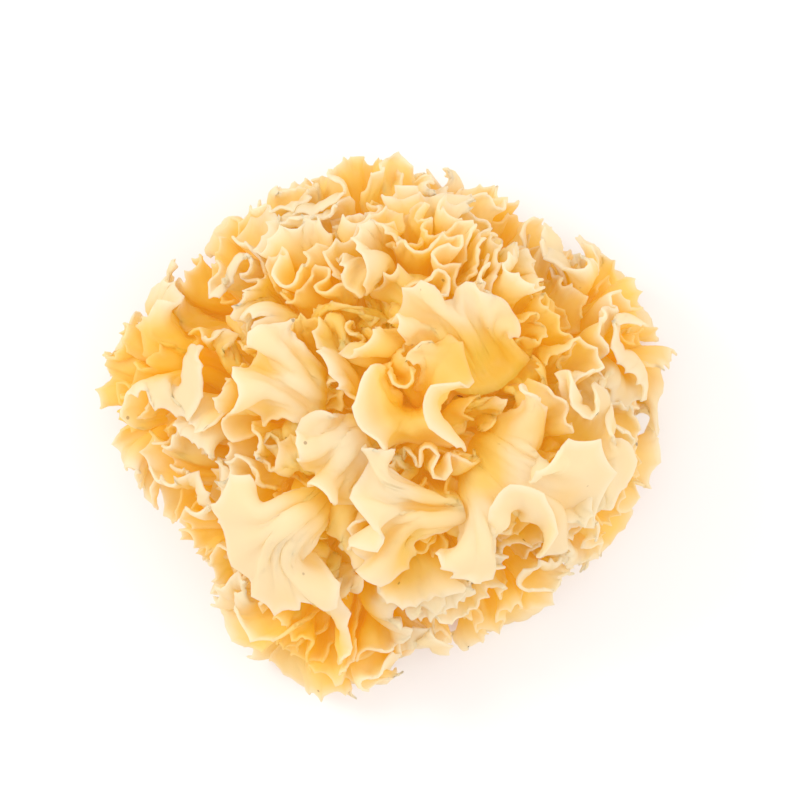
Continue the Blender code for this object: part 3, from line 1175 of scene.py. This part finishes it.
def mesh_of(name, points, faces, caps, near_rim):
    """An object of these faces that stands on the floor, with both numbers at each point."""
    points[:, 2] = np.maximum(points[:, 2], 0)
    mesh = bpy.data.meshes.new(name)
    all_faces = [tuple(face) for face in faces.tolist()] + [tuple(cap) for cap in caps]
    mesh.from_pydata(points.tolist(), [], all_faces)
    from_heart = points - HEART
    size = np.linalg.norm(from_heart, axis=1)
    depth = np.clip((outline_reach(from_heart / size[:, None]) - size) / AMBER_AND_PAINTED_SHADE_DEPTH, 0, 1)
    # amber, partly painted shade, grows with depth below the outline, in random blotches
    amber_and_painted_shade = np.clip(depth + BLOTCH_SHARE * blotches(points, BLOTCH_SIZE), 0, 1)
    # pale rim, partly painted light, fades where the rim lies deep, as painted shade
    pale_and_painted_rim_light = np.clip(1 - near_rim / PALE_AND_PAINTED_RIM_LIGHT_WIDTH, 0, 1) * np.clip(1 - 2 * depth, 0.1, 1)
    for label, values in (("amber_and_painted_shade", amber_and_painted_shade), ("pale_and_painted_rim_light", pale_and_painted_rim_light)):
        mesh.attributes.new(label, "FLOAT", "POINT").data.foreach_set("value", values.astype(np.float32))
    mesh.polygons.foreach_set("use_smooth", np.ones(len(mesh.polygons), bool))
    mesh.validate()
    made = bpy.data.objects.new(name, mesh)
    bpy.context.scene.collection.objects.link(made)
    return made


# %% [markdown]
# Now each frond is put together. The faces of a part count their points from 0, so each part's
# numbers are moved up by the number of points that came before it.

# %% Join each frond's lobes and stalk in one mesh
tufts = {}
triangles = 0
for index, name in enumerate(FRONDS):
    rng = np.random.default_rng(SEED + index)
    body, sides, caps = stalk(name, rng)
    parts, faces, rims = [body], [sides], [np.full(len(body), FAR_FROM_RIM)]
    total = len(body)
    for number, lobe in enumerate(lobes):
        if lobe["frond"] != name:
            continue
        places, quads, near_rim = fine_lobe(lobe, points[number], rng)
        parts.append(places)
        faces.append(quads + total)
        rims.append(near_rim)
        total += len(places)
    all_points, all_faces, all_rims = (np.concatenate(each) for each in (parts, faces, rims))
    tuft = mesh_of(name + "_frills", all_points, all_faces, caps, all_rims)
    tufts[name] = tuft
    triangles += sum(len(p.vertices) - 2 for p in tuft.data.polygons)
print("frills:", len(tufts), "triangles:", triangles)

# %% [markdown]
# ## The heel
# The heel is where the head sat on its log. It is the oldest and densest part, tan to brown, and
# wrinkled where it shrank. It was cut off flat, and the head lies on that cut. A dome with a few
# waves round it gives the lumps and the wrinkles in one go.

# %% The heel
HEEL_SIDES = 96
HEEL_RINGS = 40
HEEL_LUMP = 0.8 * MM
HEEL_LUMPS = 5
HEEL_WRINKLE = 0.25 * MM
HEEL_WRINKLES = (7, 11, 17, 23, 31)


def heel_mesh():
    rng = np.random.default_rng(SEED)
    t = np.linspace(0, 1, HEEL_RINGS)[:, None]
    turn = np.linspace(0, 2 * math.pi, HEEL_SIDES, endpoint=False)[None, :]
    lowest = -math.asin(HEART[2] / HEEL_DOME)
    rise = lowest + (math.pi / 2 - lowest) * t**0.9
    lump = HEEL_LUMP * (1 + np.sin(HEEL_LUMPS * turn)) / 2
    for count in HEEL_WRINKLES:
        lump = lump + HEEL_WRINKLE * (1 + np.sin(count * turn + rng.uniform(*ALL_ROUND) + 3 * t)) / 2
    lump = lump * np.cos(rise)
    x = (HEEL_RADIUS - lump) * np.cos(rise) * np.cos(turn)
    y = (HEEL_RADIUS - lump) * np.cos(rise) * np.sin(turn)
    z = np.maximum(HEART[2] + HEEL_DOME * np.sin(rise) - 0.3 * lump * (t > 0), 0) + 0 * turn
    faces, caps = tube_faces(HEEL_RINGS, HEEL_SIDES)
    return np.stack([x, y, z], axis=-1).reshape(-1, 3), faces, caps


body, faces, caps = heel_mesh()
heel = mesh_of("cut_heel", body, faces, caps, np.full(len(body), FAR_FROM_RIM))
cut = body[:HEEL_SIDES]
print("the heel's flat cut is", round(float(np.ptp(cut[:, 0])) / MM, 1), "mm wide")

# %% [markdown]
# ## Finishes
# Colours are picked as sRGB hex values, as any colour picker shows them, and turned to the linear
# values that the shader needs. One small function adds a node with its settings and links.

# %% Colour and node helpers
COLOUR_A = 6         # a mix node has a socket for each kind of value, and these are its colours
COLOUR_B = 7
MIXED_COLOUR = 2


def linear(hex_colour):
    parts = [int(hex_colour[i:i + 2], 16) / 255 for i in (0, 2, 4)]
    return [p / 12.92 if p <= 0.04045 else ((p + 0.055) / 1.055) ** 2.4 for p in parts] + [1]


def add_node(tree, kind, inputs=None, **settings):
    made = tree.nodes.new(kind)
    for name, value in settings.items():
        setattr(made, name, value)
    for socket, value in (inputs or {}).items():
        if isinstance(value, bpy.types.NodeSocket):
            tree.links.new(value, made.inputs[socket])
        else:
            made.inputs[socket].default_value = value
    return made


print("cream in linear values:", np.round(linear("FFEAAE"), 3).tolist())

# %% [markdown]
# ### Dried jelly tissue
# Dried jelly-fungus tissue is a horn-like gel that shrank in air. It is half clear and satin on its
# skin, and light that has passed through it comes out warmer. A subsurface shader is meant for thick
# bodies and is slow on sheets of half a millimetre. So the skin is mixed with a translucent shader,
# which lets light through from the back. Torn rims are painted almost white: partly the paler thin
# tissue, partly painted light that thin rims let through. The depth of the head is painted amber:
# partly the yellower tissue near the base, partly painted shade of light that has passed many lobes.
# The render gives up on light that is scattered very often, so the depths would turn too dark and
# grey, and a faint warm painted glow that grows with depth stands in for it there.

# %% Dried jelly tissue
# cream to amber with depth: partly the tissue's own colour, partly painted shade
AMBER_AND_PAINTED_SHADE_RAMP = ((0.0, "FFEAAE"), (0.2, "FFDF86"), (0.4, "FFD85A"), (0.7, "FFD034"), (1.0, "FFC81E"))
# the pale rim colour: partly the thin tissue's own, partly painted light
PALE_AND_PAINTED_RIM_LIGHT_COLOUR = "FFF2CC"
PALE_AND_PAINTED_RIM_LIGHT_SHARE = 0.75
SPECK_SHADE = "6B4A2A"
SPECK_SPACING = 9 * MM        # here and there a crumb of bark is dried on, about 0.7 mm wide
SPECK_EDGE = (0.05, 0.03)     # as shares of the spacing
SPECK_SHARE = 0.7
SKIN_WRINKLE = 1.4 * MM       # real ones are well under 1 mm; they are drawn coarser to show
SKIN_WRINKLE_DEPTH = 0.4 * MM
THROUGH_SHARE = 0.55
GEL_IOR = 1.45                # dried gums and gels are at 1.45 to 1.5
GLOW_SHADE = "FFBC2E"
GLOW = 0.14


def amber_and_painted_shade_colour(tree):
    """A colour from cream and pale at the rims to amber in the depth, and the strength of the glow. The
    pale rims are partly painted light and the amber partly painted shade.
    """
    amber_and_painted_shade = add_node(tree, "ShaderNodeAttribute", attribute_name="amber_and_painted_shade").outputs["Fac"]
    pale_and_painted_rim_light = add_node(tree, "ShaderNodeAttribute", attribute_name="pale_and_painted_rim_light").outputs["Fac"]
    ramp = add_node(tree, "ShaderNodeValToRGB", {"Fac": amber_and_painted_shade})
    stops = ramp.color_ramp.elements
    stops[0].color = linear(AMBER_AND_PAINTED_SHADE_RAMP[0][1])
    stops[-1].color = linear(AMBER_AND_PAINTED_SHADE_RAMP[-1][1])
    for at, shade in AMBER_AND_PAINTED_SHADE_RAMP[1:-1]:
        stops.new(at).color = linear(shade)
    pale_and_painted_rim_light_share = add_node(tree, "ShaderNodeMath", {0: pale_and_painted_rim_light, 1: PALE_AND_PAINTED_RIM_LIGHT_SHARE}, operation="MULTIPLY")
    tinted = add_node(tree, "ShaderNodeMix", {
        "Factor": pale_and_painted_rim_light_share.outputs["Value"],
        COLOUR_A: ramp.outputs["Color"],
        COLOUR_B: linear(PALE_AND_PAINTED_RIM_LIGHT_COLOUR),
    }, data_type="RGBA")
    glow = add_node(tree, "ShaderNodeMath", {0: amber_and_painted_shade, 1: GLOW}, operation="MULTIPLY")
    return tinted.outputs[MIXED_COLOUR], glow.outputs["Value"]


def dried_tissue():
    made = bpy.data.materials.new("dried_jelly_tissue")
    made.use_nodes = True
    tree = made.node_tree
    tree.nodes.clear()
    place = add_node(tree, "ShaderNodeTexCoord").outputs["Object"]
    colour, glow = amber_and_painted_shade_colour(tree)
    specks = add_node(tree, "ShaderNodeTexVoronoi", {"Vector": place, "Scale": 1 / SPECK_SPACING})
    dark = add_node(tree, "ShaderNodeMapRange", {
        "Value": specks.outputs["Distance"],
        "From Min": SPECK_EDGE[0],
        "From Max": SPECK_EDGE[1],
        "To Min": 0.0,
        "To Max": SPECK_SHARE,
    })
    spotted = add_node(tree, "ShaderNodeMix", {
        "Factor": dark.outputs["Result"],
        COLOUR_A: colour,
        COLOUR_B: linear(SPECK_SHADE),
    }, data_type="RGBA")
    wrinkles = add_node(tree, "ShaderNodeTexNoise", {
        "Vector": place,
        "Scale": 1 / SKIN_WRINKLE,
        "Detail": 1.5,
        "Roughness": 0.6,
    })
    bump = add_node(tree, "ShaderNodeBump", {
        "Height": wrinkles.outputs["Fac"],
        "Strength": 0.25,
        "Distance": SKIN_WRINKLE_DEPTH,
    })
    skin = add_node(tree, "ShaderNodeBsdfPrincipled", {
        "Base Color": spotted.outputs[MIXED_COLOUR],
        "Emission Color": linear(GLOW_SHADE),
        "Emission Strength": glow,
        "Roughness": 0.5,
        "IOR": GEL_IOR,
        "Specular IOR Level": 0.3,
        "Normal": bump.outputs["Normal"],
    })
    through = add_node(tree, "ShaderNodeBsdfTranslucent", {"Color": spotted.outputs[MIXED_COLOUR]})
    both = add_node(tree, "ShaderNodeMixShader", {
        "Fac": THROUGH_SHARE,
        1: skin.outputs["BSDF"],
        2: through.outputs["BSDF"],
    })
    add_node(tree, "ShaderNodeOutputMaterial", {"Surface": both.outputs["Shader"]})
    return made


tissue = dried_tissue()
for name, tuft in tufts.items():
    tuft.data.materials.append(tissue)
    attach(tuft, "root")
    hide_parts("frond_" + name)
print("material:", tissue.name, "on", len(tufts), "fronds")

# %% [markdown]
# ### Dried heel rind
# The heel's rind is the same gel dried thick and hard, with bark dust in it. It lets no light
# through, so a plain rough surface will do: tan to brown in patches of about five millimetres, with
# wrinkles. The eye sees a dull woody knot.

# %% Dried heel rind
RIND_PATCH = 5 * MM
RIND_WRINKLE = 1.2 * MM       # the wrinkles of a dry heel are about a millimetre apart
RIND_WRINKLE_DEPTH = 0.5 * MM


def dried_heel():
    made = bpy.data.materials.new("dried_heel_rind")
    made.use_nodes = True
    tree = made.node_tree
    tree.nodes.clear()
    place = add_node(tree, "ShaderNodeTexCoord").outputs["Object"]
    patches = add_node(tree, "ShaderNodeTexNoise", {"Vector": place, "Scale": 1 / RIND_PATCH, "Detail": 5})
    ramp = add_node(tree, "ShaderNodeValToRGB", {"Fac": patches.outputs["Fac"]})
    stops = ramp.color_ramp.elements
    stops[0].position = 0.3
    stops[0].color = linear("7A4A1E")
    stops[1].position = 0.7
    stops[1].color = linear("D09A55")
    wrinkles = add_node(tree, "ShaderNodeTexNoise", {
        "Vector": place,
        "Scale": 1 / RIND_WRINKLE,
        "Detail": 5,
        "Roughness": 0.65,
    })
    bump = add_node(tree, "ShaderNodeBump", {
        "Height": wrinkles.outputs["Fac"],
        "Strength": 0.6,
        "Distance": RIND_WRINKLE_DEPTH,
    })
    shader = add_node(tree, "ShaderNodeBsdfPrincipled", {
        "Base Color": ramp.outputs["Color"],
        "Roughness": 0.7,
        "IOR": GEL_IOR,
        "Normal": bump.outputs["Normal"],
    })
    add_node(tree, "ShaderNodeOutputMaterial", {"Surface": shader.outputs["BSDF"]})
    return made


heel.data.materials.append(dried_heel())
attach(heel, "root")
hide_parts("heel")
print("material:", heel.data.materials[0].name)

# %% [markdown]
# ## The floor
# The head lies on something plain, white and matt, like uncoated paper, which gives the eye a soft
# bright ground and no reflection. One large square is enough, so wide that its edge is never seen.

# %% Floor
FLOOR_HALF = 1.5


def plain_white():
    made = bpy.data.materials.new("matt_white_paper")
    made.use_nodes = True
    shader = made.node_tree.nodes["Principled BSDF"]
    shader.inputs["Base Color"].default_value = linear("F7F5F2")
    shader.inputs["Roughness"].default_value = 0.9
    shader.inputs["Specular IOR Level"].default_value = 0.1
    return made


mesh = bpy.data.meshes.new("floor")
corners = [(x * FLOOR_HALF, y * FLOOR_HALF, 0) for x, y in ((-1, -1), (1, -1), (1, 1), (-1, 1))]
mesh.from_pydata(corners, [], [(0, 1, 2, 3)])
floor = bpy.data.objects.new("floor", mesh)
bpy.context.scene.collection.objects.link(floor)
floor.data.materials.append(plain_white())
print("floor:", 2 * FLOOR_HALF, "m wide, material:", floor.data.materials[0].name)

# %% [markdown]
# ## Light
# The light is a broad soft lamp from the upper left of the picture, a weaker one from the right, and
# a white sky that fills the shadows. A small hard lamp would draw black cracks between the frills. A
# lamp's place is in metres, its size is the width of its disc in metres, and its power is in watts.

# %% Light
SKY_STRENGTH = 1.2

world = bpy.data.worlds.new("white_sky")
world.use_nodes = True
world.node_tree.nodes["Background"].inputs["Color"].default_value = linear("FFFFFF")
world.node_tree.nodes["Background"].inputs["Strength"].default_value = SKY_STRENGTH
bpy.context.scene.world = world


def softbox(name, place, size, power, shade):
    """A round soft lamp that looks at the middle of the floor."""
    data = bpy.data.lights.new(name, "AREA")
    data.shape = "DISK"
    data.size = size
    data.energy = power
    data.color = linear(shade)[:3]
    lamp = bpy.data.objects.new(name, data)
    lamp.location = place
    lamp.rotation_euler = (-Vector(place)).to_track_quat("-Z", "Y").to_euler()
    bpy.context.scene.collection.objects.link(lamp)
    print("lamp:", name, power, "W")


softbox("key", (-0.55, 0.55, 0.75), 0.45, 5, "FFFDF8")
softbox("fill", (0.6, -0.3, 0.6), 0.6, 2, "FFFFFF")

# %% [markdown]
# ## Camera
# The camera looks down at the head from above, a little aslant, because the head lay off the middle
# of the picture. It stands far off with a long lens, so that near and far lobes keep their true
# proportions. A gamma over 1 lifts the middle tones, as in a brightly exposed photograph. Light
# passes many thin lobes before it comes out, so the render follows more bounces than it normally
# would, and leaves out caustics, which would only add sparks.

# %% Camera
CAMERA_PLACE = Vector((-0.030, -0.067, 0.80))
TARGET = Vector((0.0005, 0.0005, 0.022))
FRAMED = 0.148        # metres that the picture is wide, at the target
SENSOR_WIDTH = 36     # mm
BOUNCES = 8

camera_data = bpy.data.cameras.new("camera")
camera_data.sensor_width = SENSOR_WIDTH
camera_data.lens = SENSOR_WIDTH * (TARGET - CAMERA_PLACE).length / FRAMED
camera_data.clip_start = 0.01
camera = bpy.data.objects.new("camera", camera_data)
camera.location = CAMERA_PLACE
camera.rotation_euler = (TARGET - CAMERA_PLACE).to_track_quat("-Z", "Y").to_euler()
bpy.context.scene.collection.objects.link(camera)
bpy.context.scene.camera = camera

view = bpy.context.scene.view_settings
view.view_transform = "Standard"
view.gamma = 1.65
view.exposure = -0.18
cycles = bpy.context.scene.cycles
cycles.max_bounces = BOUNCES
cycles.diffuse_bounces = BOUNCES
cycles.transmission_bounces = BOUNCES
cycles.caustics_reflective = False
cycles.caustics_refractive = False
print("lens:", round(camera_data.lens), "mm")
